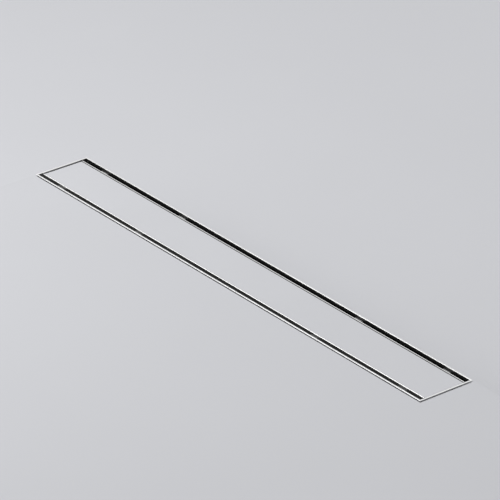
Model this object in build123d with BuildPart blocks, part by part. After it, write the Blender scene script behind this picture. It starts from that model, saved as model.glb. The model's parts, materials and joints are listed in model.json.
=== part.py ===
from build123d import *
import os
from math import radians, tan

# Linear shower drain. X runs along the drain, Z is up, and the origin lies on the
# structural slab below the middle of the drain, under the trap.

# Levels above the slab
top_z = 100.0
channel_floor_z = 61.0
flange_drop = 25.0

# Frame
frame_length = 700.0
frame_width = 74.4
frame_height = 30.0
frame_wall = 1.9
edge_round = 0.3
return_sheet = 0.6
return_reach = 12.3
return_drop = 1.3

# Cover: U tray with its insert
slot_width = 6.35
end_gap = 1.7
cover_drop = 0.7
tray_depth = 12.0
tray_sheet = 1.3
tray_bend = 1.5
rim_roll = 0.4
insert_drop = 0.5
insert_joint = 0.65
insert_arris = 0.3

# Support straps under the cover
strap_end_inset = 37.6
strap_pitch = 150.0
strap_width = 12.0
strap_sheet = 1.2
strap_bend = 0.6
strap_drop = 4.6
strap_tab = 11.0
strap_play = 0.2
pad_width = 14.0
pad_inset = 12.2
pad_thick = 1.0

# Levelling of the frame
bracket_reach = 25.0
bracket_width = 18.0
bracket_sheet = 2.0
bracket_leg = 10.0
bracket_bend = 1.5
bracket_drop = 18.0
level_x_inset = 17.0
level_y = 24.0
level_thread = 6.0
level_length = 17.0
level_socket = 3.0
level_socket_depth = 3.5
level_nut_flats = 10.0
level_nut_height = 5.0
thread_play = 0.05

# Channel
mouth_play = 2.0
mouth_corner = 4.0
channel_wall = 3.0
floor_flat = 116.0
floor_fall = 1.0
floor_round = 2.0
belly_round = 4.0
flange_width = 25.0
flange_thick = 3.0
flange_corner = 16.0
rib_thick = 2.5
rib_pitch = 35.0
rib_first = 80.0
rib_end_gap = 20.0
rib_foot = 3.0
rib_inset = 4.0
end_rib_pitch = 28.0
level_boss_radius = 8.0
level_boss_rise = 2.0
lip_height = 4.0
lip_thick = 2.0

# Joint between channel and trap
neck_bore = 58.0
clamp_length = 100.0
clamp_width = 72.0
clamp_thick = 3.0
clamp_corner = 12.0
clamp_pitch_x = 82.0
clamp_pitch_y = 54.0
gasket_thick = 2.0
gasket_play = 1.0
clamp_thread = 5.0
clamp_head = 9.4
clamp_screw_length = 16.0
hole_play = 0.3

# Trap body
trap_flange_length = 112.0
trap_flange_width = 84.0
trap_flange_corner = 18.0
trap_flange_thick = 5.0
pot_diameter = 100.0
pot_wall = 3.0
pot_roof = 5.0
pot_arris = 3.0
ledge_bore = 53.0
ledge_depth = 7.0
outlet_diameter = 50.0
outlet_wall = 3.0
outlet_z = 30.0
outlet_reach = 90.0
outlet_chamfer = 2.0
outlet_stop = 53.0
outlet_shoulder = 2.5
shoulder_play = 0.5
pot_rib_count = 14
pot_rib_depth = 3.0
pot_rib_thick = 2.4
pot_rib_top = 10.0

# Water seal
collar_play = 0.5
collar_rim = 2.5
funnel_depth = 8.0
tube_diameter = 34.0
tube_wall = 1.5
tube_bottom_z = 11.0
fin_count = 4
fin_thick = 1.8
fin_top_gap = 12.0
fin_height = 20.0
fin_play = 0.4
ring_section = 3.0
ring_arris = 0.8
ring_groove = 3.4
ring_centre = 3.5
ring_play = 0.1
cup_diameter = 51.0
cup_wall = 1.8
cup_height = 37.5
cup_arris = 4.0
cup_foot_height = 1.5
cup_foot_radius = 3.0
cup_foot_circle = 18.0
cup_foot_count = 3

# Hair sieve
sieve_rim_play = 0.5
sieve_rim_thick = 1.5
sieve_wall = 1.5
sieve_play = 1.2
sieve_depth = 7.0
sieve_slot = 2.6
sieve_slot_count = 12
sieve_slot_inner = 7.0
sieve_slot_edge = 3.0
sieve_knob_radius = 4.0
sieve_knob_neck = 2.6
sieve_knob_height = 16.0

# Feet
foot_end_inset = 130.0
foot_y = 56.0
foot_rail_length = 136.0
foot_rail_width = 30.0
foot_rail_sheet = 2.5
foot_rail_leg = 9.0
foot_rail_bend = 2.0
foot_rail_drop = 5.0
saddle_length = 34.0
saddle_width = 60.0
saddle_screw_y = 20.0
bracket_thread = 4.0
bracket_screw_length = 8.0
bracket_head = 8.0
bracket_head_height = 2.6
stud_thread = 8.0
stud_bottom_z = 5.0
stud_top_gap = 4.0
stud_play = 0.5
foot_nut_flats = 13.0
foot_nut_height = 6.5
pad_length = 46.0
pad_breadth = 36.0
pad_corner = 14.0
pad_plate = 5.0
pad_boss_radius = 10.0
pad_boss_height = 13.0
pad_boss_taper = 6.0
pad_hole_offset = 17.0
pad_hole = 5.2
pad_inner = 18.0
pad_arris = 1.0
pad_rib_thick = 2.5
pad_rib_reach = 4.0
pad_rib_height = 6.0

# Places that follow from the sizes above
frame_end = frame_length / 2
frame_side = frame_width / 2
inner_end = frame_end - frame_wall
inner_side = frame_side - frame_wall
frame_bottom_z = top_z - frame_height
tray_side = inner_side - slot_width
tray_end = inner_end - end_gap
tray_top_z = top_z - cover_drop
tray_bottom_z = tray_top_z - tray_depth
strap_outer_x = inner_end - strap_end_inset
strap_inner_x = strap_outer_x - strap_pitch
strap_stations = (-strap_outer_x, -strap_inner_x, strap_inner_x, strap_outer_x)
pad_offset = tray_side - pad_inset
foot_x = frame_end - foot_end_inset
pad_bottom_z = tray_bottom_z - pad_thick
flange_z = top_z - flange_drop
mouth_end = frame_end + mouth_play
mouth_side = frame_side + mouth_play
floor_end_z = channel_floor_z + (mouth_end - floor_flat / 2) * tan(radians(floor_fall))
belly_z = channel_floor_z - channel_wall
belly_end_z = floor_end_z - channel_wall
rib_bottom_z = belly_z - rib_foot
level_x = inner_end - level_x_inset
level_foot_z = floor_end_z + level_boss_rise
bracket_top_z = top_z - bracket_drop
clamp_top_z = channel_floor_z + clamp_thick
gasket_bottom_z = belly_z - gasket_thick
trap_flange_z = gasket_bottom_z - trap_flange_thick
ledge_z = gasket_bottom_z - ledge_depth
pot_roof_z = trap_flange_z - pot_roof
pot_inner = pot_diameter / 2 - pot_wall
collar_radius = neck_bore / 2 - collar_play
collar_inner = collar_radius - collar_rim
tube_radius = tube_diameter / 2
tube_bore = tube_radius - tube_wall
cup_radius = cup_diameter / 2
cup_bottom_z = pot_wall + cup_foot_height
rail_top_z = belly_z + (foot_x - floor_flat / 2) * tan(radians(floor_fall)) - foot_rail_drop
rail_bottom_z = rail_top_z - foot_rail_sheet
stud_top_z = flange_z - flange_thick - stud_top_gap
pad_top_z = pad_plate + pad_boss_height

pieces = {}


def keep(name, builder):
    builder.part.label = name
    pieces[name] = builder.part


# Frame: square surround, with the returns of the folded end caps inside the long walls
with BuildPart() as frame:
    with BuildSketch(Plane.XY.offset(frame_bottom_z)):
        Rectangle(frame_length, frame_width)
        Rectangle(2 * inner_end, 2 * inner_side, mode=Mode.SUBTRACT)
    extrude(amount=frame_height)
    fillet(frame.faces().sort_by(Axis.Z)[-1].edges(), edge_round)
    return_length = return_reach - frame_wall
    with BuildSketch(Plane.XY.offset(frame_bottom_z)):
        with GridLocations(2 * inner_end - return_length, 2 * inner_side - return_sheet, 2, 2):
            Rectangle(return_length, return_sheet)
    extrude(amount=frame_height - return_drop)
keep("frame", frame)

# Support straps: one folded strip each, standing in both slots and passing under the tray
strap_leg = tray_side + strap_play
strap_top_z = top_z - strap_drop
strap_points = [
    (inner_side, strap_top_z - strap_tab),
    (inner_side, strap_top_z),
    (strap_leg, strap_top_z),
    (strap_leg, pad_bottom_z),
]
strap_path = strap_points + [(-y, z) for y, z in reversed(strap_points)]
for number, station in enumerate(strap_stations, 1):
    with BuildPart() as strap:
        with BuildSketch(Plane.YZ.offset(station)):
            with BuildLine():
                FilletPolyline(*strap_path, radius=strap_bend + strap_sheet)
                offset(amount=strap_sheet, side=Side.LEFT)
            make_face()
        extrude(amount=strap_width / 2, both=True)
    keep(f"support_strap_{number}", strap)

# Cover pads: two on each strap
with BuildPart() as cover_pads:
    with BuildSketch(Plane.XY.offset(pad_bottom_z)):
        with Locations(*[(x, y) for x in strap_stations for y in (-pad_offset, pad_offset)]):
            Rectangle(strap_width, pad_width)
    extrude(amount=pad_thick)
keep("cover_pads", cover_pads)

# Cover tray: folded U profile with open ends, lying a little below the frame's top
tray_path = [
    (-tray_side, tray_top_z),
    (-tray_side, tray_bottom_z),
    (tray_side, tray_bottom_z),
    (tray_side, tray_top_z),
]
with BuildPart() as cover_tray:
    with BuildSketch(Plane.YZ.offset(-tray_end)):
        with BuildLine():
            FilletPolyline(*tray_path, radius=tray_bend + tray_sheet)
            offset(amount=tray_sheet, side=Side.LEFT)
        make_face()
    extrude(amount=2 * tray_end)
    rims = cover_tray.edges().filter_by(Axis.X).group_by(Axis.Z)[-1].sort_by(Axis.Y)
    fillet([rims[0], rims[-1]], rim_roll)
keep("cover_tray", cover_tray)

# Tile insert: slab bedded in the tray, its lower edges clear of the tray's bends
insert_side = tray_side - tray_sheet - insert_joint
insert_bottom_z = tray_bottom_z + tray_sheet
insert_thick = tray_depth - tray_sheet - insert_drop
with BuildPart() as tile_insert:
    with BuildSketch(Plane.XY.offset(insert_bottom_z)):
        Rectangle(2 * tray_end, 2 * insert_side)
    extrude(amount=insert_thick)
    chamfer(tile_insert.edges().filter_by(Axis.X).group_by(Axis.Z)[0], tray_bend)
    chamfer(tile_insert.faces().sort_by(Axis.Z)[-1].edges(), insert_arris)
keep("tile_insert", tile_insert)

# Levelling brackets: folded angles on the frame's end walls
bracket_path = [
    (inner_end, bracket_top_z - bracket_leg),
    (inner_end, bracket_top_z),
    (inner_end - bracket_reach, bracket_top_z),
]
level_places = [(x, y) for x in (-level_x, level_x) for y in (-level_y, level_y)]
for number, (x, y) in enumerate(level_places, 1):
    with BuildPart() as bracket:
        with BuildSketch(Plane.XZ.offset(-y)):
            with BuildLine():
                FilletPolyline(*bracket_path, radius=bracket_bend + bracket_sheet)
                offset(amount=bracket_sheet, side=Side.LEFT)
            make_face()
        extrude(amount=bracket_width / 2, both=True)
        with Locations((level_x, y, bracket_top_z)):
            Hole(level_thread / 2 + hole_play, depth=bracket_sheet)
        if x < 0:
            mirror(about=Plane.YZ, mode=Mode.REPLACE)
    keep(f"levelling_bracket_{number}", bracket)

# Weld nuts below the brackets
level_nut_z = bracket_top_z - bracket_sheet
with BuildPart() as levelling_nuts:
    with BuildSketch(Plane.XY.offset(level_nut_z)):
        with Locations(*level_places):
            RegularPolygon(level_nut_flats / 2, 6, major_radius=False)
            Circle(level_thread / 2 + thread_play, mode=Mode.SUBTRACT)
    extrude(amount=-level_nut_height)
keep("levelling_nuts", levelling_nuts)

# Levelling screws: socket set screws that stand on the bosses of the channel floor
with BuildPart() as levelling_screws:
    with BuildSketch(Plane.XY.offset(level_foot_z)):
        with Locations(*level_places):
            Circle(level_thread / 2)
    extrude(amount=level_length)
    chamfer(levelling_screws.edges().filter_by(GeomType.CIRCLE), level_thread / 12)
    with BuildSketch(Plane.XY.offset(level_foot_z + level_length)):
        with Locations(*level_places):
            RegularPolygon(level_socket / 2, 6, major_radius=False)
    extrude(amount=-level_socket_depth, mode=Mode.SUBTRACT)
keep("levelling_screws", levelling_screws)

# Hollow of the channel: straight walls, and a floor that falls to the flat middle
with BuildPart() as hollow:
    with BuildSketch(Plane.XZ):
        with BuildLine():
            Polyline(
                (-mouth_end, flange_z),
                (-mouth_end, floor_end_z),
                (-floor_flat / 2, channel_floor_z),
                (floor_flat / 2, channel_floor_z),
                (mouth_end, floor_end_z),
                (mouth_end, flange_z),
                close=True,
            )
        make_face()
    extrude(amount=mouth_side, both=True)
    fillet(hollow.edges().filter_by(Axis.Z), mouth_corner)
    floor_faces = hollow.faces().filter_by(lambda f: f.normal_at().Z < -0.9)
    floor_rim = [e for f in floor_faces for e in f.edges().filter_by(Axis.Y, reverse=True)]
    fillet(floor_rim, floor_round)

# Channel: trough with bonding flange, ribs, saddles for the feet and bosses for the screws
clamp_places = [
    (x, y)
    for x in (-clamp_pitch_x / 2, clamp_pitch_x / 2)
    for y in (-clamp_pitch_y / 2, clamp_pitch_y / 2)
]
rib_count = int((mouth_end - rib_first - rib_end_gap) / rib_pitch) + 1
rib_places = [rib_first + rib_pitch * i for i in range(rib_count)]
rib_places = [x for x in rib_places if abs(x - foot_x) > (saddle_length + rib_thick) / 2]
belly_end = mouth_end + channel_wall
belly_side = mouth_side + channel_wall
flange_end = mouth_end + flange_width
flange_side = mouth_side + flange_width
with BuildPart() as channel:
    with BuildSketch(Plane.XZ):
        with BuildLine():
            Polyline(
                (-belly_end, flange_z),
                (-belly_end, belly_end_z),
                (-floor_flat / 2, belly_z),
                (floor_flat / 2, belly_z),
                (belly_end, belly_end_z),
                (belly_end, flange_z),
                close=True,
            )
        make_face()
    extrude(amount=belly_side, both=True)
    fillet(channel.edges().filter_by(Axis.Z), mouth_corner + channel_wall)
    belly_faces = channel.faces().filter_by(lambda f: f.normal_at().Z < -0.9)
    belly_rim = [e for f in belly_faces for e in f.edges().filter_by(Axis.Y, reverse=True)]
    fillet(belly_rim, belly_round)
    with BuildSketch(Plane.XY.offset(flange_z)):
        RectangleRounded(2 * flange_end, 2 * flange_side, flange_corner)
    extrude(amount=-flange_thick)
    with BuildSketch(Plane.XY.offset(flange_z)):
        RectangleRounded(2 * (mouth_end + lip_thick), 2 * (mouth_side + lip_thick), mouth_corner + lip_thick)
        RectangleRounded(2 * mouth_end, 2 * mouth_side, mouth_corner, mode=Mode.SUBTRACT)
    extrude(amount=lip_height)
    rib_top_z = flange_z - flange_thick / 2
    for x in rib_places:
        for plane_x in (-x, x):
            with BuildSketch(Plane.YZ.offset(plane_x)):
                with BuildLine():
                    Polyline(
                        (-flange_side + rib_inset, rib_top_z),
                        (-flange_side + rib_inset, flange_z - 2 * flange_thick),
                        (-belly_side + belly_round, rib_bottom_z),
                        (belly_side - belly_round, rib_bottom_z),
                        (flange_side - rib_inset, flange_z - 2 * flange_thick),
                        (flange_side - rib_inset, rib_top_z),
                        close=True,
                    )
                make_face()
            extrude(amount=rib_thick / 2, both=True)
    for y in (-end_rib_pitch, 0, end_rib_pitch):
        with BuildSketch(Plane.XZ.offset(-y)):
            with BuildLine():
                Polyline(
                    (belly_end - channel_wall / 2, rib_top_z),
                    (belly_end - channel_wall / 2, belly_end_z + belly_round),
                    (belly_end, belly_end_z + belly_round),
                    (flange_end - rib_inset, flange_z - 2 * flange_thick),
                    (flange_end - rib_inset, rib_top_z),
                    close=True,
                )
            make_face()
            mirror(about=Plane.YZ)
        extrude(amount=rib_thick / 2, both=True)
    with BuildSketch(Plane.XY.offset(rail_top_z)):
        with GridLocations(2 * foot_x, 0, 2, 1):
            RectangleRounded(saddle_length, saddle_width, belly_round)
    extrude(amount=floor_end_z - rail_top_z)
    add(hollow.part, mode=Mode.SUBTRACT)
    with BuildSketch(Plane.XY.offset(level_foot_z)):
        with Locations(*level_places):
            Circle(level_boss_radius)
    extrude(amount=belly_end_z - level_foot_z)
    with BuildSketch(Plane.XY.offset(belly_z)):
        Circle(neck_bore / 2)
        with Locations(*clamp_places):
            Circle(clamp_thread / 2 + hole_play)
    extrude(amount=channel_wall, mode=Mode.SUBTRACT)
    with BuildSketch(Plane.XY.offset(rail_top_z)):
        with GridLocations(2 * foot_x, 2 * saddle_screw_y, 2, 2):
            Circle(bracket_thread / 2 + thread_play)
    extrude(amount=bracket_screw_length - foot_rail_sheet + hole_play, mode=Mode.SUBTRACT)
keep("channel", channel)

# Clamp plate: presses the channel floor and the gasket onto the trap
with BuildPart() as clamp_plate:
    with BuildSketch(Plane.XY.offset(channel_floor_z)):
        RectangleRounded(clamp_length, clamp_width, clamp_corner)
        Circle(neck_bore / 2, mode=Mode.SUBTRACT)
    extrude(amount=clamp_thick)
    with Locations(*[(x, y, clamp_top_z) for x, y in clamp_places]):
        CounterSinkHole(clamp_thread / 2 + hole_play, clamp_head / 2 + hole_play, depth=clamp_thick)
    chamfer(clamp_plate.faces().sort_by(Axis.Z)[-1].outer_wire().edges(), edge_round)
keep("clamp_plate", clamp_plate)

# Gasket between channel and trap
with BuildPart() as channel_gasket:
    with BuildSketch(Plane.XY.offset(gasket_bottom_z)):
        RectangleRounded(trap_flange_length, trap_flange_width, trap_flange_corner)
        Circle(neck_bore / 2 + gasket_play, mode=Mode.SUBTRACT)
        with Locations(*clamp_places):
            Circle(clamp_thread / 2 + hole_play, mode=Mode.SUBTRACT)
    extrude(amount=gasket_thick)
keep("channel_gasket", channel_gasket)

# Clamp screws: countersunk, from the plate down into the trap's flange
clamp_cone = (clamp_head - clamp_thread) / 2
with BuildPart() as clamp_screws:
    for x, y in clamp_places:
        with BuildSketch(Plane.XZ.offset(-y)) as half_screw:
            with BuildLine():
                Polyline(
                    (x, clamp_top_z),
                    (x + clamp_head / 2, clamp_top_z),
                    (x + clamp_thread / 2, clamp_top_z - clamp_cone),
                    (x + clamp_thread / 2, clamp_top_z - clamp_screw_length),
                    (x, clamp_top_z - clamp_screw_length),
                    close=True,
                )
            make_face()
        revolve(axis=Axis((x, y, 0), (0, 0, 1)))
    with BuildSketch(Plane.XY.offset(clamp_top_z)):
        with Locations(*clamp_places):
            RegularPolygon(clamp_thread / 3, 6, major_radius=False)
    extrude(amount=-clamp_cone * 0.8, mode=Mode.SUBTRACT)
keep("clamp_screws", clamp_screws)

# Trap body: pot with flange, seat for the water seal and outlet spigot
outlet_radius = outlet_diameter / 2
outlet_bore = outlet_radius - outlet_wall
outlet_root = neck_bore / 2 + pot_roof
with BuildPart() as trap_body:
    with BuildSketch(Plane.XY):
        Circle(pot_diameter / 2)
    extrude(amount=trap_flange_z)
    chamfer(trap_body.faces().sort_by(Axis.Z)[0].edges(), pot_arris)
    with BuildSketch(Plane.XY.offset(gasket_bottom_z)):
        RectangleRounded(trap_flange_length, trap_flange_width, trap_flange_corner)
    extrude(amount=-trap_flange_thick)
    with BuildSketch(Plane.XY.offset(pot_arris)):
        with PolarLocations(pot_diameter / 2, pot_rib_count, 90 + 180 / pot_rib_count):
            Rectangle(2 * pot_rib_depth, pot_rib_thick)
    extrude(amount=trap_flange_z - pot_arris - pot_rib_top)
    with BuildSketch(Plane.XZ.offset(outlet_root)):
        with Locations((0, outlet_z)):
            Circle(outlet_radius)
    extrude(amount=outlet_reach - outlet_root)
    with BuildSketch(Plane.XZ.offset(trap_flange_width / 2 + shoulder_play)):
        with Locations((0, outlet_z)):
            Circle(outlet_radius + outlet_shoulder)
    extrude(amount=outlet_stop - trap_flange_width / 2 - shoulder_play)
    chamfer(trap_body.faces().sort_by(Axis.Y)[0].edges(), outlet_chamfer, outlet_chamfer / 2)
    with BuildSketch(Plane.XY.offset(pot_wall)):
        Circle(pot_inner)
    extrude(amount=pot_roof_z - pot_wall, mode=Mode.SUBTRACT)
    with BuildSketch(Plane.XZ.offset(outlet_root)):
        with Locations((0, outlet_z)):
            Circle(outlet_bore)
    extrude(amount=outlet_reach - outlet_root, mode=Mode.SUBTRACT)
    with BuildSketch(Plane.XY.offset(gasket_bottom_z)):
        Circle(neck_bore / 2)
    extrude(amount=-ledge_depth, mode=Mode.SUBTRACT)
    with BuildSketch(Plane.XY.offset(ledge_z)):
        Circle(ledge_bore / 2)
    extrude(amount=pot_roof_z - ledge_z, mode=Mode.SUBTRACT)
    screw_depth = clamp_screw_length - clamp_thick - channel_wall - gasket_thick
    with BuildSketch(Plane.XY.offset(gasket_bottom_z)):
        with Locations(*clamp_places):
            Circle(clamp_thread / 2 + thread_play)
    extrude(amount=-screw_depth - hole_play, mode=Mode.SUBTRACT)
keep("trap_body", trap_body)

# Dip tube: collar with its groove, funnel and immersion tube, with fins inside the cup
ring_z = ledge_z + ring_centre
groove_depth = ring_section - collar_play + 2 * ring_play
with BuildPart() as dip_tube:
    with BuildSketch(Plane.XZ):
        with BuildLine():
            Polyline(
                (collar_inner, clamp_top_z),
                (collar_radius, clamp_top_z),
                (collar_radius, ledge_z),
                (ledge_bore / 2 - collar_play, ledge_z),
                (tube_radius, ledge_z - tube_wall),
                (tube_radius, tube_bottom_z),
                (tube_bore, tube_bottom_z),
                (tube_bore, ledge_z),
                (collar_inner, clamp_top_z - funnel_depth),
                close=True,
            )
        make_face()
        with Locations((collar_radius, ring_z)):
            Rectangle(2 * groove_depth, ring_groove, mode=Mode.SUBTRACT)
    revolve(axis=Axis.Z)
    fin_radius = cup_radius - cup_wall - fin_play
    with BuildSketch(Plane.XY.offset(ledge_z - fin_top_gap)):
        with PolarLocations((fin_radius + tube_bore + tube_wall / 2) / 2, fin_count):
            Rectangle(fin_radius - tube_bore - tube_wall / 2, fin_thick)
    extrude(amount=-fin_height)
keep("dip_tube", dip_tube)

# Sealing ring in the collar's groove
with BuildPart() as dip_tube_ring:
    with BuildSketch(Plane.XZ) as ring_face:
        with Locations((neck_bore / 2 - ring_play - ring_section / 2, ring_z)):
            Rectangle(ring_section, ring_section)
        chamfer(ring_face.vertices(), ring_arris)
    revolve(axis=Axis.Z)
keep("dip_tube_ring", dip_tube_ring)

# Trap cup: stands on three feet on the pot's floor
cup_top_z = cup_bottom_z + cup_height
cup_inner = cup_radius - cup_wall
cup_lean = cup_wall * tan(radians(22.5))
with BuildPart() as trap_cup:
    with BuildSketch(Plane.XZ):
        with BuildLine():
            Polyline(
                (0, cup_bottom_z),
                (cup_radius - cup_arris, cup_bottom_z),
                (cup_radius, cup_bottom_z + cup_arris),
                (cup_radius, cup_top_z),
                (cup_inner, cup_top_z),
                (cup_inner, cup_bottom_z + cup_arris + cup_lean),
                (cup_radius - cup_arris - cup_lean, cup_bottom_z + cup_wall),
                (0, cup_bottom_z + cup_wall),
                close=True,
            )
        make_face()
    revolve(axis=Axis.Z)
    with BuildSketch(Plane.XY.offset(pot_wall)):
        with PolarLocations(cup_foot_circle, cup_foot_count, 90):
            Circle(cup_foot_radius)
    extrude(amount=cup_foot_height + cup_wall / 2)
keep("trap_cup", trap_cup)

# Hair sieve: slotted basket with a pull knob, its rim on the collar
sieve_radius = collar_inner - sieve_play
sieve_floor_z = clamp_top_z - sieve_depth
with BuildPart() as hair_sieve:
    with BuildSketch(Plane.XZ):
        with BuildLine():
            Polyline(
                (0, sieve_floor_z),
                (sieve_radius, sieve_floor_z),
                (sieve_radius, clamp_top_z),
                (collar_radius - sieve_rim_play, clamp_top_z),
                (collar_radius - sieve_rim_play, clamp_top_z + sieve_rim_thick),
                (sieve_radius - sieve_wall, clamp_top_z + sieve_rim_thick),
                (sieve_radius - sieve_wall, sieve_floor_z + sieve_wall),
                (sieve_knob_neck, sieve_floor_z + sieve_wall),
                (sieve_knob_neck, sieve_floor_z + sieve_knob_height - sieve_knob_radius),
                (sieve_knob_radius, sieve_floor_z + sieve_knob_height - sieve_knob_neck),
                (sieve_knob_radius, sieve_floor_z + sieve_knob_height),
                (0, sieve_floor_z + sieve_knob_height),
                close=True,
            )
        make_face()
    revolve(axis=Axis.Z)
    slot_outer = sieve_radius - sieve_slot_edge
    with BuildSketch(Plane.XY.offset(sieve_floor_z)):
        with PolarLocations((sieve_slot_inner + slot_outer) / 2, sieve_slot_count):
            Rectangle(slot_outer - sieve_slot_inner, sieve_slot)
    extrude(amount=sieve_wall, mode=Mode.SUBTRACT)
    with BuildSketch(Plane.XY.offset(sieve_floor_z + sieve_wall)):
        with PolarLocations(sieve_radius - sieve_wall / 2, sieve_slot_count, 180 / sieve_slot_count):
            Rectangle(2 * sieve_wall, sieve_slot)
    extrude(amount=sieve_depth - 2 * sieve_wall, mode=Mode.SUBTRACT)
keep("hair_sieve", hair_sieve)

# Foot brackets: folded rails below the channel
rail_path = [
    (-foot_rail_width / 2, rail_top_z - foot_rail_leg),
    (-foot_rail_width / 2, rail_top_z),
    (foot_rail_width / 2, rail_top_z),
    (foot_rail_width / 2, rail_top_z - foot_rail_leg),
]
for number, x in enumerate((-foot_x, foot_x), 1):
    with BuildPart() as foot_bracket:
        with BuildSketch(Plane.XZ):
            with BuildLine():
                FilletPolyline(*[(x + dx, z) for dx, z in rail_path], radius=foot_rail_bend + foot_rail_sheet)
                offset(amount=foot_rail_sheet, side=Side.RIGHT)
            make_face()
        extrude(amount=foot_rail_length / 2, both=True)
        with BuildSketch(Plane.XY.offset(rail_top_z)):
            with Locations((x, -foot_y), (x, foot_y)):
                Circle(stud_thread / 2 + stud_play)
            with Locations((x, -saddle_screw_y), (x, saddle_screw_y)):
                Circle(bracket_thread / 2 + hole_play)
        extrude(amount=-foot_rail_sheet, mode=Mode.SUBTRACT)
    keep(f"foot_bracket_{number}", foot_bracket)

# Bracket screws: pan heads below the rails
saddle_places = [(x, y) for x in (-foot_x, foot_x) for y in (-saddle_screw_y, saddle_screw_y)]
with BuildPart() as bracket_screws:
    with BuildSketch(Plane.XY.offset(rail_bottom_z)):
        with Locations(*saddle_places):
            Circle(bracket_head / 2)
    extrude(amount=-bracket_head_height)
    chamfer(bracket_screws.faces().filter_by(Axis.Z).group_by(Axis.Z)[0].edges(), bracket_head_height / 2)
    with BuildSketch(Plane.XY.offset(rail_bottom_z)):
        with Locations(*saddle_places):
            Circle(bracket_thread / 2)
    extrude(amount=bracket_screw_length)
    with BuildSketch(Plane.XY.offset(rail_bottom_z - bracket_head_height)):
        with Locations(*saddle_places):
            RegularPolygon(bracket_thread / 3, 6, major_radius=False)
    extrude(amount=bracket_head_height / 2, mode=Mode.SUBTRACT)
keep("bracket_screws", bracket_screws)

# Feet: threaded studs in moulded pads, each stud held by two nuts on the rail
foot_places = [(x, y) for x in (-foot_x, foot_x) for y in (-foot_y, foot_y)]
for number, (x, y) in enumerate(foot_places, 1):
    outward = 1 if y > 0 else -1
    with BuildPart() as foot_stud:
        with BuildSketch(Plane.XY.offset(stud_bottom_z)):
            with Locations((x, y)):
                Circle(stud_thread / 2)
        extrude(amount=stud_top_z - stud_bottom_z)
        chamfer(foot_stud.edges().filter_by(GeomType.CIRCLE), stud_thread / 10)
    keep(f"foot_stud_{number}", foot_stud)

    with BuildPart() as foot_pad:
        with BuildSketch(Plane.XY):
            with Locations((x, y + outward * (pad_length / 2 - pad_inner))):
                RectangleRounded(pad_breadth, pad_length, pad_corner)
        extrude(amount=pad_plate)
        chamfer(foot_pad.faces().sort_by(Axis.Z)[-1].edges(), pad_arris)
        with BuildSketch(Plane.XY.offset(pad_plate)):
            with Locations((x, y)):
                Rectangle(2 * (pad_boss_radius + pad_rib_reach), pad_rib_thick)
                Rectangle(pad_rib_thick, 2 * (pad_boss_radius + pad_rib_reach))
        extrude(amount=pad_rib_height)
        with BuildSketch(Plane.XY.offset(pad_plate)):
            with Locations((x, y)):
                Circle(pad_boss_radius)
        extrude(amount=pad_boss_height, taper=pad_boss_taper)
        with BuildSketch(Plane.XY.offset(stud_bottom_z)):
            with Locations((x, y)):
                Circle(stud_thread / 2 + thread_play)
        extrude(amount=pad_top_z - stud_bottom_z, mode=Mode.SUBTRACT)
        with BuildSketch(Plane.XY):
            with Locations((x, y + outward * pad_hole_offset)):
                Circle(pad_hole / 2)
        extrude(amount=pad_plate, mode=Mode.SUBTRACT)
    keep(f"foot_pad_{number}", foot_pad)

with BuildPart() as foot_nuts:
    for base_z in (rail_top_z, rail_bottom_z - foot_nut_height):
        with BuildSketch(Plane.XY.offset(base_z)):
            with Locations(*foot_places):
                RegularPolygon(foot_nut_flats / 2, 6, major_radius=False)
                Circle(stud_thread / 2 + thread_play, mode=Mode.SUBTRACT)
        extrude(amount=foot_nut_height)
keep("foot_nuts", foot_nuts)

os.makedirs("parts", exist_ok=True)
for name, piece in pieces.items():
    export_step(piece, f"parts/{name}.step")
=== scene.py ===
import json
import math
import bpy
import numpy as np
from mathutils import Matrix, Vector


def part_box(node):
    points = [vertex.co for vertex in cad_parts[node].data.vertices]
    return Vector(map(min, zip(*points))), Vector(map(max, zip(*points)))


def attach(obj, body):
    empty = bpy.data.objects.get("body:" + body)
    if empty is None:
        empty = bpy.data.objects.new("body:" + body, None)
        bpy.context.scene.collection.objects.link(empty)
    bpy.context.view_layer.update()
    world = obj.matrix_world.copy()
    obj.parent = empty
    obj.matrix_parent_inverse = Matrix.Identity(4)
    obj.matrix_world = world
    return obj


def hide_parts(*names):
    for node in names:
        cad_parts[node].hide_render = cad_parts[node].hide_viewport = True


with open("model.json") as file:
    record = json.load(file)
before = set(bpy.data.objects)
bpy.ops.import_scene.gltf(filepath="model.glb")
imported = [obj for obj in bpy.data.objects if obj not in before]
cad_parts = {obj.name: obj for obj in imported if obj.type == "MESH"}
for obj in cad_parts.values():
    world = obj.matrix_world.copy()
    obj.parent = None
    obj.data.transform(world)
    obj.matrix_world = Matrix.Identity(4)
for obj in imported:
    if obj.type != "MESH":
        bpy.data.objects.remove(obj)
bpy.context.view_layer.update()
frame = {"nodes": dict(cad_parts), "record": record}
nodes = frame["nodes"]

mm = 0.001
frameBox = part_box("frame")  # lowest and highest corner of the steel surround
topZ = frameBox[1][2]
fullTurn = 2 * math.pi
white = (1.0, 1.0, 1.0, 1.0)


# node helpers: a fresh material, a node with its settings, a wire or a plain value
def newMaterial(name):
    mat = bpy.data.materials.new(name)
    mat.use_nodes = True
    return mat, mat.node_tree, mat.node_tree.nodes["Principled BSDF"]


def addNode(tree, kind, inputs=None, **settings):
    node = tree.nodes.new(kind)
    for key, value in settings.items():
        setattr(node, key, value)
    for key, value in (inputs or {}).items():
        node.inputs[key].default_value = value
    return node


def wire(tree, source, target):
    tree.links.new(source, target)


def feed(tree, source, target):
    # a socket is wired, a colour or number is written on the target
    if isinstance(source, bpy.types.NodeSocket):
        wire(tree, source, target)
    else:
        target.default_value = source


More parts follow.
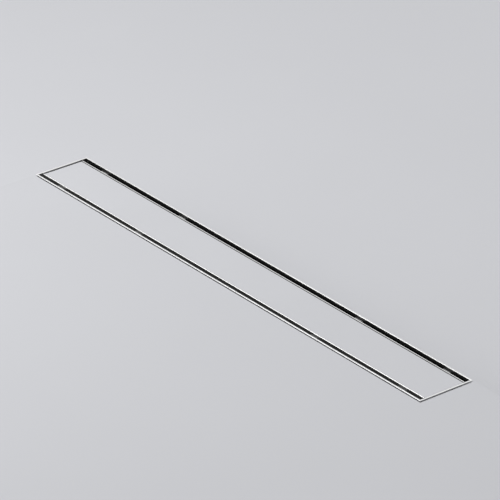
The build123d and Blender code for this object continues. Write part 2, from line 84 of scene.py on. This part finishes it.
def stretchedNoise(tree, stretch, detail, rough):
    # noise on Object coordinates, stretched by cycles per metre along x, y and z
    coords = addNode(tree, "ShaderNodeTexCoord")
    mapping = addNode(tree, "ShaderNodeMapping", {"Scale": stretch})
    settings = {"Scale": 1.0, "Detail": detail, "Roughness": rough}
    noise = addNode(tree, "ShaderNodeTexNoise", settings)
    wire(tree, coords.outputs["Object"], mapping.inputs["Vector"])
    wire(tree, mapping.outputs["Vector"], noise.inputs["Vector"])
    return noise.outputs["Fac"]


noiseSpan = (0.3, 0.7)  # nearly all of a noise lies between these


def spread(tree, value, low=0.0, high=1.0, span=noiseSpan):
    # carries the span of a value into low to high
    node = addNode(tree, "ShaderNodeMapRange", {
        "From Min": span[0], "From Max": span[1], "To Min": low, "To Max": high})
    wire(tree, value, node.inputs["Value"])
    return node.outputs["Result"]


mixSockets = {"FLOAT": (2, 3, 0), "RGBA": (6, 7, 2)}  # first and second input, output


def mixed(tree, kind, share, first, second):
    # blends from first to second while the share goes from 0 to 1
    node = addNode(tree, "ShaderNodeMix", data_type=kind)
    firstPlace, secondPlace, outPlace = mixSockets[kind]
    feed(tree, share, node.inputs[0])
    feed(tree, first, node.inputs[firstPlace])
    feed(tree, second, node.inputs[secondPlace])
    return node.outputs[outPlace]


def twoTone(tree, share, look):
    # from the dark to the light colour of a look
    return mixed(tree, "RGBA", share, (*look["dark"], 1.0), (*look["light"], 1.0))


def relief(tree, height, look, bsdf):
    # fine surface relief
    node = addNode(tree, "ShaderNodeBump", {"Strength": look["strength"], "Distance": look["depth"]})
    wire(tree, height, node.inputs["Height"])
    wire(tree, node.outputs["Normal"], bsdf.inputs["Normal"])


# for each kind of noise: cycles per metre where all its users share them, detail, roughness
steelNoise = {"cloud": ((14, 14, 14), 2.0, 0.55), "grain": (4.0, 0.6)}
plasticNoise = {"cloud": ((22, 22, 22), 3.0, 0.55), "grain": (2.0, 0.5)}
mineralNoise = {"cloud": (3.0, 0.55), "speck": ((1100, 1100, 1100), 2.0, 0.7)}


def brushedSteel(name, look):
    # long scratches run level round each wall; a slower cloud varies the tint
    mat, tree, bsdf = newMaterial(name)
    grain = stretchedNoise(tree, look["grain"], *steelNoise["grain"])
    cloud = stretchedNoise(tree, *steelNoise["cloud"])
    wire(tree, twoTone(tree, spread(tree, cloud), look), bsdf.inputs["Base Color"])
    wire(tree, spread(tree, grain, *look["rough"]), bsdf.inputs["Roughness"])
    bsdf.inputs["Metallic"].default_value = 1.0
    relief(tree, grain, look, bsdf)
    return mat


def mouldedPlastic(name, look):
    # spark-eroded grain of a mould, with a slow change of gloss
    mat, tree, bsdf = newMaterial(name)
    grain = stretchedNoise(tree, (look["grain"],) * 3, *plasticNoise["grain"])
    cloud = stretchedNoise(tree, *plasticNoise["cloud"])
    wire(tree, twoTone(tree, spread(tree, cloud), look), bsdf.inputs["Base Color"])
    wire(tree, spread(tree, cloud, *look["rough"]), bsdf.inputs["Roughness"])
    relief(tree, grain, look, bsdf)
    return mat


def mineral(name, look):
    # matt cast mineral: slow clouds plus a fine sand speckle of about a millimetre
    mat, tree, bsdf = newMaterial(name)
    cloud = stretchedNoise(tree, look["cloud"], *mineralNoise["cloud"])
    speck = stretchedNoise(tree, *mineralNoise["speck"])
    tone = mixed(tree, "FLOAT", look["speckShare"], cloud, speck)
    wire(tree, twoTone(tree, spread(tree, tone), look), bsdf.inputs["Base Color"])
    wire(tree, spread(tree, speck, *look["rough"]), bsdf.inputs["Roughness"])
    bsdf.inputs["Specular IOR Level"].default_value = look["specular"]
    relief(tree, speck, look, bsdf)
    return mat


# steel
frameLook = {"dark": (0.76, 0.76, 0.76), "light": (0.84, 0.84, 0.84), "rough": (0.07, 0.13),
             "grain": (9, 9, 1500), "depth": 0.004 * mm, "strength": 0.12}
trayLook = {"dark": (0.78, 0.78, 0.78), "light": (0.86, 0.86, 0.86), "rough": (0.14, 0.24),
            "grain": (9, 1500, 1500), "depth": 0.004 * mm, "strength": 0.12}
strapLook = {"dark": (0.66, 0.66, 0.66), "light": (0.76, 0.76, 0.76), "rough": (0.54, 0.68),
             "grain": (1400, 12, 12), "depth": 0.02 * mm, "strength": 0.25}
clampLook = {"dark": (0.55, 0.55, 0.54), "light": (0.66, 0.66, 0.65), "rough": (0.30, 0.44),
             "grain": (8, 1100, 8), "depth": 0.02 * mm, "strength": 0.3}
zincLook = {"dark": (0.50, 0.52, 0.54), "light": (0.66, 0.67, 0.68), "rough": (0.26, 0.46),
            "grain": (90, 90, 90), "depth": 0.03 * mm, "strength": 0.25}
boltLook = {**zincLook, "grain": (260, 260, 260)}
frameSteel = brushedSteel("frameSteel", frameLook)
traySteel = brushedSteel("traySteel", trayLook)
strapSteel = brushedSteel("strapSteel", strapLook)
clampSteel = brushedSteel("clampSteel", clampLook)
zincSheet = brushedSteel("zincSheet", zincLook)
zincBolt = brushedSteel("zincBolt", boltLook)

# plastic and rubber
channelLook = {"dark": (0.036, 0.036, 0.037), "light": (0.050, 0.050, 0.051), "rough": (0.44, 0.58),
               "grain": 2600, "depth": 0.06 * mm, "strength": 0.35, "specular": 0.35}
trapLook = {"dark": (0.024, 0.024, 0.025), "light": (0.036, 0.036, 0.037), "rough": (0.36, 0.50),
            "grain": 2200, "depth": 0.05 * mm, "strength": 0.3}
greyLook = {"dark": (0.26, 0.27, 0.28), "light": (0.33, 0.34, 0.35), "rough": (0.38, 0.50),
            "grain": 2600, "depth": 0.04 * mm, "strength": 0.25}
footLook = {"dark": (0.028, 0.028, 0.029), "light": (0.040, 0.040, 0.041), "rough": (0.48, 0.62),
            "grain": 1900, "depth": 0.07 * mm, "strength": 0.35}
rubberLook = {"dark": (0.010, 0.010, 0.010), "light": (0.016, 0.016, 0.016), "rough": (0.70, 0.85),
              "grain": 3200, "depth": 0.05 * mm, "strength": 0.3}
channelPlastic = mouldedPlastic("channelPlastic", channelLook)
channelTree = channelPlastic.node_tree
channelBsdf = channelTree.nodes["Principled BSDF"]
channelBsdf.inputs["Specular IOR Level"].default_value = channelLook["specular"]
trapPlastic = mouldedPlastic("trapPlastic", trapLook)
sealPlastic = mouldedPlastic("sealPlastic", greyLook)
footPlastic = mouldedPlastic("footPlastic", footLook)
sealRubber = mouldedPlastic("sealRubber", rubberLook)

# mineral slab of the cover, and the floor of the same kind
insertLook = {"dark": (0.558, 0.564, 0.590), "light": (0.592, 0.598, 0.625), "rough": (0.55, 0.68),
              "cloud": (7, 7, 7), "speckShare": 0.45, "specular": 0.35,
              "depth": 0.02 * mm, "strength": 0.2}
floorLook = {**insertLook, "dark": (0.566, 0.572, 0.598), "light": (0.584, 0.590, 0.617),
             "rough": (0.62, 0.72), "cloud": (3, 3, 3)}
# painted light: the lower floor is a lighter copy of the floor, cancelling the shade that the raised
# step casts on it
lowerLitLook = {**floorLook, "dark": (0.586, 0.592, 0.619), "light": (0.604, 0.610, 0.638)}
insertMineral = mineral("insertMineral", insertLook)
floorMineral = mineral("floorMineral", floorLook)
lowerMineralLit = mineral("lowerMineralLit", lowerLitLook)


# masks by place, for faces of a node that have a finish of their own
def along(tree, axis):
    # one Object coordinate of the point that is shaded
    coords = addNode(tree, "ShaderNodeTexCoord")
    split = addNode(tree, "ShaderNodeSeparateXYZ")
    wire(tree, coords.outputs["Object"], split.inputs["Vector"])
    return split.outputs[axis]


def fromMiddle(tree, axis):
    # the same coordinate without its sign, so that both sides of the drain answer
    size = addNode(tree, "ShaderNodeMath", operation="ABSOLUTE")
    wire(tree, along(tree, axis), size.inputs[0])
    return size.outputs[0]


closeBy = 0.1 * mm  # how near COMPARE asks for


def compared(tree, value, how, limit):
    # 1 where the test holds: LESS_THAN, GREATER_THAN or COMPARE
    test = addNode(tree, "ShaderNodeMath", {1: limit, 2: closeBy}, operation=how)
    wire(tree, value, test.inputs[0])
    return test.outputs[0]


def both(tree, first, second):
    node = addNode(tree, "ShaderNodeMath", operation="MULTIPLY")
    wire(tree, first, node.inputs[0])
    wire(tree, second, node.inputs[1])
    return node.outputs[0]


def dressFaces(mat, mask, colour, rough):
    # another colour and gloss where the mask is 1
    tree = mat.node_tree
    bsdf = tree.nodes["Principled BSDF"]
    for name, kind, other in (("Base Color", "RGBA", colour), ("Roughness", "FLOAT", rough)):
        target = bsdf.inputs[name]
        plain = target.links[0].from_socket
        wire(tree, mixed(tree, kind, mask, plain, other), target)


# sanded bonding flange of the channel
bondMount = next(mount for mount in frame["record"]["mounts"] if mount["name"] == "flange_bond")
bondLook = {"z": bondMount["pos_m"][2], "dark": (0.012, 0.012, 0.012), "light": (0.075, 0.074, 0.072),
            "rough": 0.88, "grain": ((1500, 1500, 1500), 2.0, 0.7), "span": (0.42, 0.62)}
sand = stretchedNoise(channelTree, *bondLook["grain"])
grains = twoTone(channelTree, spread(channelTree, sand, span=bondLook["span"]), bondLook)
flangeFaces = compared(channelTree, along(channelTree, "Z"), "COMPARE", bondLook["z"])
dressFaces(channelPlastic, flangeFaces, grains, bondLook["rough"])

# painted shade: the walls of the slots below a bright lip are made nearly black, darker still with
# depth
slotShadeLook = {"wall": 1.9 * mm, "lip": 0.9 * mm, "fade": 3.1 * mm, "deep": 4.3 * mm, "rough": 0.62,
            "dark": (0.012, 0.012, 0.012), "light": (0.052, 0.052, 0.052)}
frameTree = frameSteel.node_tree
slotSide = frameBox[1][1] - slotShadeLook["wall"]
slotWalls = compared(frameTree, fromMiddle(frameTree, "Y"), "COMPARE", slotSide)
belowLip = compared(frameTree, along(frameTree, "Z"), "LESS_THAN", topZ - slotShadeLook["lip"])
depthSpan = (topZ - slotShadeLook["deep"], topZ - slotShadeLook["fade"])
slotShadeTone = twoTone(frameTree, spread(frameTree, along(frameTree, "Z"), span=depthSpan), slotShadeLook)
dressFaces(frameSteel, both(frameTree, slotWalls, belowLip), slotShadeTone, slotShadeLook["rough"])

# painted shade in the gap at each end: the level faces of the end caps' returns, 1.3 mm below the
# top, are made nearly black
returnShadeLook = {"drop": 1.3 * mm, "colour": (0.05, 0.05, 0.05, 1.0), "rough": 0.5}
shadedReturnFaces = compared(frameTree, along(frameTree, "Z"), "COMPARE", topZ - returnShadeLook["drop"])
dressFaces(frameSteel, shadedReturnFaces, returnShadeLook["colour"], returnShadeLook["rough"])

# painted shade: the outside of the tray below its rim, down in the slots, is made dark grey
trayWallShadeLook = {"skin": 0.05 * mm, "lip": 0.9 * mm, "colour": (0.17, 0.17, 0.17, 1.0), "rough": 0.62}
trayTree = traySteel.node_tree
traySide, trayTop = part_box("cover_tray")[1][1:]
outerSide = traySide - trayWallShadeLook["skin"]
outerWalls = compared(trayTree, fromMiddle(trayTree, "Y"), "GREATER_THAN", outerSide)
belowRim = compared(trayTree, along(trayTree, "Z"), "LESS_THAN", trayTop - trayWallShadeLook["lip"])
dressFaces(traySteel, both(trayTree, outerWalls, belowRim), trayWallShadeLook["colour"], trayWallShadeLook["rough"])

# faces inside the tray, within its rims, in a darker grey
trayInsideLook = {"rim": 1.25 * mm, "colour": (0.30, 0.30, 0.30, 1.0), "rough": 0.7}
insideLimit = traySide - trayInsideLook["rim"]
insideFaces = compared(trayTree, fromMiddle(trayTree, "Y"), "LESS_THAN", insideLimit)
dressFaces(traySteel, insideFaces, trayInsideLook["colour"], trayInsideLook["rough"])

# painted shade: the end faces of the slab, in the narrow gap at each end, are made darker
endGapShadeLook = {"skin": 0.05 * mm, "colour": (0.33, 0.333, 0.345, 1.0), "rough": 0.75}
insertTree = insertMineral.node_tree
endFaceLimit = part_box("tile_insert")[1][0] - endGapShadeLook["skin"]
endFaces = compared(insertTree, fromMiddle(insertTree, "X"), "GREATER_THAN", endFaceLimit)
dressFaces(insertMineral, endFaces, endGapShadeLook["colour"], endGapShadeLook["rough"])

finishes = {
    "frame_steel": frameSteel,
    "tray_steel": traySteel,
    "strap_steel": strapSteel,
    "bracket_steel": zincSheet,
    "fastener_steel": zincBolt,
    "clamp_steel": clampSteel,
    "insert_mineral": insertMineral,
    "channel_plastic": channelPlastic,
    "trap_plastic": trapPlastic,
    "seal_plastic": sealPlastic,
    "sieve_plastic": sealPlastic,
    "seal_rubber": sealRubber,
    "foot_plastic": footPlastic,
}
for entry in frame["record"]["subparts"]:
    shown = nodes[entry["node"]]
    for holder in shown.material_slots:
        holder.material = finishes[entry["material_slot"]]

sharpFrom = math.radians(34)  # edges that turn by more than this stay crisp
stations = range(1, 5)  # straps and feet both come in fours


def meshPiece(name, verts, faces, material):
    mesh = bpy.data.meshes.new(name)
    mesh.from_pydata(verts, [], faces)
    mesh.materials.append(material)
    piece = bpy.data.objects.new(name, mesh)
    bpy.context.collection.objects.link(piece)
    return piece


def surface(name, points, material, looped=False, poles=None):
    # quads over a grid of points, rows by columns, wrapped round along each row; looped also joins
    # the last row to the first, and poles are two centre points that close both with fans
    rows, cols = points.shape[:2]
    index = np.arange(rows * cols).reshape(rows, cols)
    a = index if looped else index[:-1]
    b = np.roll(index, -1, 0) if looped else index[1:]
    quads = np.stack([a, np.roll(a, -1, 1), np.roll(b, -1, 1), b], -1)
    faces = quads.reshape(-1, 4).tolist()
    verts = points.reshape(-1, 3)
    if poles is not None:
        low, high = len(verts), len(verts) + 1
        verts = np.vstack([verts, poles])
        first, last = index[0], index[-1]
        faces += np.stack([np.roll(first, -1), first, np.full(cols, low)], -1).tolist()
        faces += np.stack([last, np.roll(last, -1), np.full(cols, high)], -1).tolist()
    piece = meshPiece(name, verts.tolist(), faces, material)
    piece.data.shade_smooth()
    piece.data.set_sharp_from_angle(angle=sharpFrom)
    return piece


strapFold = {"play": 0.2 * mm, "sheet": 1.2 * mm, "tab": 11.0 * mm, "arris": 0.12 * mm,
             "outer": 0.3 * mm, "inner": 0.1 * mm, "steps": 5}


def foldedPath(half, reach):
    # half a section, mirrored; each fold is a quadratic curve that leaves one side and meets
    # the next at reach from their corner
    corners = np.array(half + [(-y, z) for y, z in reversed(half)])
    fold = corners[1:-1]
    back, ahead = corners[:-2] - fold, corners[2:] - fold
    start = (fold + back / np.linalg.norm(back, axis=1, keepdims=True) * reach)[:, None]
    end = (fold + ahead / np.linalg.norm(ahead, axis=1, keepdims=True) * reach)[:, None]
    s = np.linspace(0, 1, strapFold["steps"])[None, :, None]
    curve = (1 - s) ** 2 * start + 2 * s * (1 - s) * fold[:, None] + s ** 2 * end
    return np.vstack([corners[:1], curve.reshape(-1, 2), corners[-1:]])


def foldedStrap(name, nodeName):
    # a flat section with broken edges carried along the strip: tab on the wall, flat top in the
    # slot, leg beside the tray, run under it
    low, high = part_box(nodeName)
    top, side = high[2], high[1]
    leg = traySide + strapFold["play"]
    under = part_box("cover_pads")[0][2]
    sheet, arris, tabEnd = strapFold["sheet"], strapFold["arris"], top - strapFold["tab"]
    face = [(side, tabEnd), (side, top), (leg, top), (leg, under)]
    back = [(side - sheet, tabEnd), (side - sheet, top - sheet),
            (leg + sheet, top - sheet), (leg + sheet, under - sheet)]
    outer = foldedPath(face, strapFold["outer"])
    inner = foldedPath(back, strapFold["inner"])
    step = (inner - outer) / np.linalg.norm(inner - outer, axis=1, keepdims=True) * arris
    x0, x1 = low[0], high[0]
    ring = [(x0, outer + step), (x0, inner - step), (x0 + arris, inner), (x1 - arris, inner),
            (x1, inner - step), (x1, outer + step), (x1 - arris, outer), (x0 + arris, outer)]
    lines = [np.column_stack([np.full(len(line), x), line]) for x, line in ring]
    points = np.stack(lines, 1)
    piece = surface(name, points, strapSteel, poles=points[[0, -1]].mean(1))
    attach(piece, "root")
    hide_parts(nodeName)


for number in stations:
    foldedStrap("foldedStrap" + str(number), "support_strap_" + str(number))
print("straps folded")

threadForm = {"steep": 1.3, "crest": 0.12}  # flanks and flat crest of the wave


def threadRows(length, radius, thread):
    # radius = major radius minus depth times a clipped triangle wave of
    # (height / pitch minus angle / full turn), drawn in to the core over the lead at each end
    steps = int(length / thread["pitch"] * thread["perTurn"])
    z = np.linspace(0, length, steps + 1)[:, None]
    angle = np.linspace(0, fullTurn, thread["around"], endpoint=False)[None, :]
    phase = np.mod(z / thread["pitch"] - angle / fullTurn, 1.0)
    wave = np.abs(2 * phase - 1)
    groove = np.clip(wave * threadForm["steep"] - threadForm["crest"], 0, 1)
    ends = np.minimum(np.minimum(z, length - z) / thread["lead"], 1.0)
    return z, angle, radius - thread["depth"] * np.maximum(groove, 1 - ends)


def hexRadius(flats, angle):
    # half the flats over the cosine of the angle from the nearest flat; corners point along x
    return flats / 2 / np.cos(np.mod(angle, fullTurn / 6) - fullTurn / 12)


def roundPoints(x, y, z, r, angle):
    # a grid of heights and radii carried round an upright axis
    return np.stack([x + r * np.cos(angle), y + r * np.sin(angle), z + 0 * angle], -1)


stud = {"pitch": 1.25 * mm, "depth": 0.72 * mm, "lead": 1.2 * mm, "around": 36, "perTurn": 8}


def threadedStud(name, nodeName):
    low, high = (np.array(c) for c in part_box(nodeName))
    x, y = ((low + high) / 2)[:2]
    z, angle, r = threadRows(high[2] - low[2], (high[0] - low[0]) / 2, stud)
    points = roundPoints(x, y, low[2] + z, r, angle)
    poles = np.array([[x, y, low[2]], [x, y, high[2]]])
    piece = surface(name, points, zincBolt, poles=poles)
    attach(piece, "root")
    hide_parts(nodeName)


for number in stations:
    threadedStud("threadedStud" + str(number), "foot_stud_" + str(number))
print("studs threaded")

nut = {"flats": 13.0 * mm, "height": 6.5 * mm, "bore": 4.05 * mm, "lip": 0.45 * mm,
       "washer": 6.1 * mm, "slope": math.tan(math.radians(30)), "around": 48}


def nutPoints(x, y, z):
    # section loop carried round the axis; a cone that rises from the washer face cuts the corners
    angle = np.linspace(0, fullTurn, nut["around"], endpoint=False)
    hexagon = hexRadius(nut["flats"], angle)
    cut = np.maximum(hexagon - nut["washer"], 0) * nut["slope"]
    flat = np.ones_like(angle)
    h, lip = nut["height"], nut["lip"]
    bore, mouth, washer = nut["bore"] * flat, (nut["bore"] + lip) * flat, nut["washer"] * flat
    r = np.stack([bore, mouth, washer, hexagon, hexagon, washer, mouth, bore])
    up = np.stack([lip * flat, 0 * flat, 0 * flat, cut,
                   h - cut, h * flat, h * flat, (h - lip) * flat])
    return roundPoints(x, y, z + up, r, angle)


def joined(name, pieces):
    # one object from several of the same kind
    with bpy.context.temp_override(active_object=pieces[0], selected_editable_objects=pieces):
        bpy.ops.object.join()
    pieces[0].name = name
    return pieces[0]


# one nut on the foot rail and one below it, on each stud
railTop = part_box("foot_bracket_1")[1][2]
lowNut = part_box("foot_nuts")[0][2]
nutPieces = []
for number in stations:
    studLow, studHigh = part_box("foot_stud_" + str(number))
    x, y = (studLow[0] + studHigh[0]) / 2, (studLow[1] + studHigh[1]) / 2
    for z in (railTop, lowNut):
        nutPieces.append(surface("nut", nutPoints(x, y, z), zincBolt, looped=True))
hexNuts = joined("hexNuts", nutPieces)
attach(hexNuts, "root")
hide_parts("foot_nuts")
print("nuts cut")

levelScrew = {"radius": 3.0 * mm, "pitch": 1.0 * mm, "depth": 0.58 * mm, "lead": 0.5 * mm,
              "around": 36, "perTurn": 6, "socket": 3.0 * mm, "socketDepth": 3.5 * mm}


def setScrew(x, y, low, high):
    # threaded like the studs; the top face runs in to a hexagon socket
    length = high - low
    z, angle, r = threadRows(length, levelScrew["radius"], levelScrew)
    hexagon = hexRadius(levelScrew["socket"], angle)
    socketFloor = length - levelScrew["socketDepth"]
    r = np.vstack([r, hexagon, hexagon])
    z = np.vstack([z, [[length], [socketFloor]]])
    points = roundPoints(x, y, low + z, r, angle)
    poles = np.array([[x, y, low], [x, y, low + socketFloor]])
    return surface("screw", points, zincBolt, poles=poles)


screwLow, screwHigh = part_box("levelling_screws")
inset = levelScrew["radius"]
screwPieces = []
for x in (screwLow[0] + inset, screwHigh[0] - inset):
    for y in (screwLow[1] + inset, screwHigh[1] - inset):
        screwPieces.append(setScrew(x, y, screwLow[2], screwHigh[2]))
setScrews = joined("setScrews", screwPieces)
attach(setScrews, "root")
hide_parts("levelling_screws")
print("levelling screws threaded")

# the floor on two levels: flush with the surround on the side the picture is taken from,
# and cut away down to the slab on the other two sides, so that the body below can be seen
stageSize = {"proud": 0.6 * mm, "joint": 1.6 * mm, "endJoint": 2.4 * mm, "reach": 150.0,
             "skin": 0.4 * mm}


def flatPiece(name, corners, quads, material):
    piece = meshPiece(name, corners, quads, material)


reach = stageSize["reach"]
slabZ = -stageSize["skin"]
slabPlan = [(-reach, -reach), (reach, -reach), (reach, reach), (-reach, reach)]
flatPiece("lowerFloor", [(x, y, slabZ) for x, y in slabPlan], [(0, 1, 2, 3)], lowerMineralLit)
floorZ = topZ - stageSize["proud"]
x0, x1 = frameBox[0][0] - stageSize["endJoint"], frameBox[1][0]
y0, y1 = frameBox[0][1], frameBox[1][1] + stageSize["joint"]
plan = [(-reach, y0), (x0, y0), (x0, y1), (x1, y1), (x1, reach), (-reach, reach)]
count = len(plan)
raisedCorners = [(x, y, floorZ) for x, y in plan] + [(x, y, slabZ) for x, y in plan]
raisedFaces = [(0, 1, 2, 5), (2, 3, 4, 5)]
for i in range(count):
    after = (i + 1) % count
    raisedFaces.append((i, i + count, after + count, after))
flatPiece("raisedFloor", raisedCorners, raisedFaces, floorMineral)
print("floor laid at", round(floorZ / mm, 2), "mm")

# soft room light, a touch stronger from above, with a lamp off the far end and a wide one behind;
# a polished face mirrors a white room, and the camera sees a plain grey one
light = {"horizon": 0.585, "zenith": 0.712, "rise": (0.0, 0.8), "mirror": 1.0,
         "back": (0.47, 0.473, 0.49, 1.0), "lamps": {
             "endLamp": {"power": 10.8, "size": 1.4, "at": (0.85, 0.70, 1.25)},
             "sideLamp": {"power": 40.0, "size": 3.0, "at": (0.60, -4.20, 2.40)}}}
world = bpy.data.worlds.new("softRoom")
bpy.context.scene.world = world
world.use_nodes = True
worldTree = world.node_tree
background = worldTree.nodes["Background"]
background.inputs["Color"].default_value = white
coords = addNode(worldTree, "ShaderNodeTexCoord")
split = addNode(worldTree, "ShaderNodeSeparateXYZ")
wire(worldTree, coords.outputs["Generated"], split.inputs["Vector"])
sky = spread(worldTree, split.outputs["Z"], light["horizon"], light["zenith"], light["rise"])
wire(worldTree, sky, background.inputs["Strength"])
mirrored = addNode(worldTree, "ShaderNodeBackground", {"Color": white, "Strength": light["mirror"]})
seen = addNode(worldTree, "ShaderNodeBackground", {"Color": light["back"], "Strength": 1.0})
path = addNode(worldTree, "ShaderNodeLightPath")
room = background.outputs["Background"]
for ray, other in (("Is Glossy Ray", mirrored), ("Is Camera Ray", seen)):
    choice = addNode(worldTree, "ShaderNodeMixShader")
    wire(worldTree, path.outputs[ray], choice.inputs["Fac"])
    wire(worldTree, room, choice.inputs[1])
    wire(worldTree, other.outputs["Background"], choice.inputs[2])
    room = choice.outputs["Shader"]
wire(worldTree, room, worldTree.nodes["World Output"].inputs["Surface"])

for name, lampLook in light["lamps"].items():
    lamp = bpy.data.lights.new(name, "AREA")
    lamp.shape = "DISK"
    lamp.size = lampLook["size"]
    lamp.energy = lampLook["power"]
    lampHolder = bpy.data.objects.new(name, lamp)
    lampHolder.location = lampLook["at"]
    aim = Vector((0.0, 0.0, topZ)) - Vector(lampLook["at"])
    lampHolder.rotation_euler = aim.to_track_quat("-Z", "Y").to_euler()
    lampHolder.visible_camera = False
    bpy.context.collection.objects.link(lampHolder)

# camera worked out from the drain's own edges: long lens, no tilt to the side
shot = {"place": (-3.4886, 2.7483, 2.3042), "along": (0.6983, -0.5517, -0.4560),
        "lens": 319.32, "sensor": 36.0, "farthest": 1000.0}
eye = bpy.data.cameras.new("camera")
eye.lens = shot["lens"]
eye.sensor_width = shot["sensor"]
eye.clip_end = shot["farthest"]
eyeHolder = bpy.data.objects.new("camera", eye)
eyeHolder.location = Vector(shot["place"]) + Vector((0, 0, topZ))
eyeHolder.rotation_euler = Vector(shot["along"]).to_track_quat("-Z", "Y").to_euler()
bpy.context.collection.objects.link(eyeHolder)
bpy.context.scene.camera = eyeHolder
bpy.context.scene.view_settings.view_transform = "Standard"
print("light and camera ready")
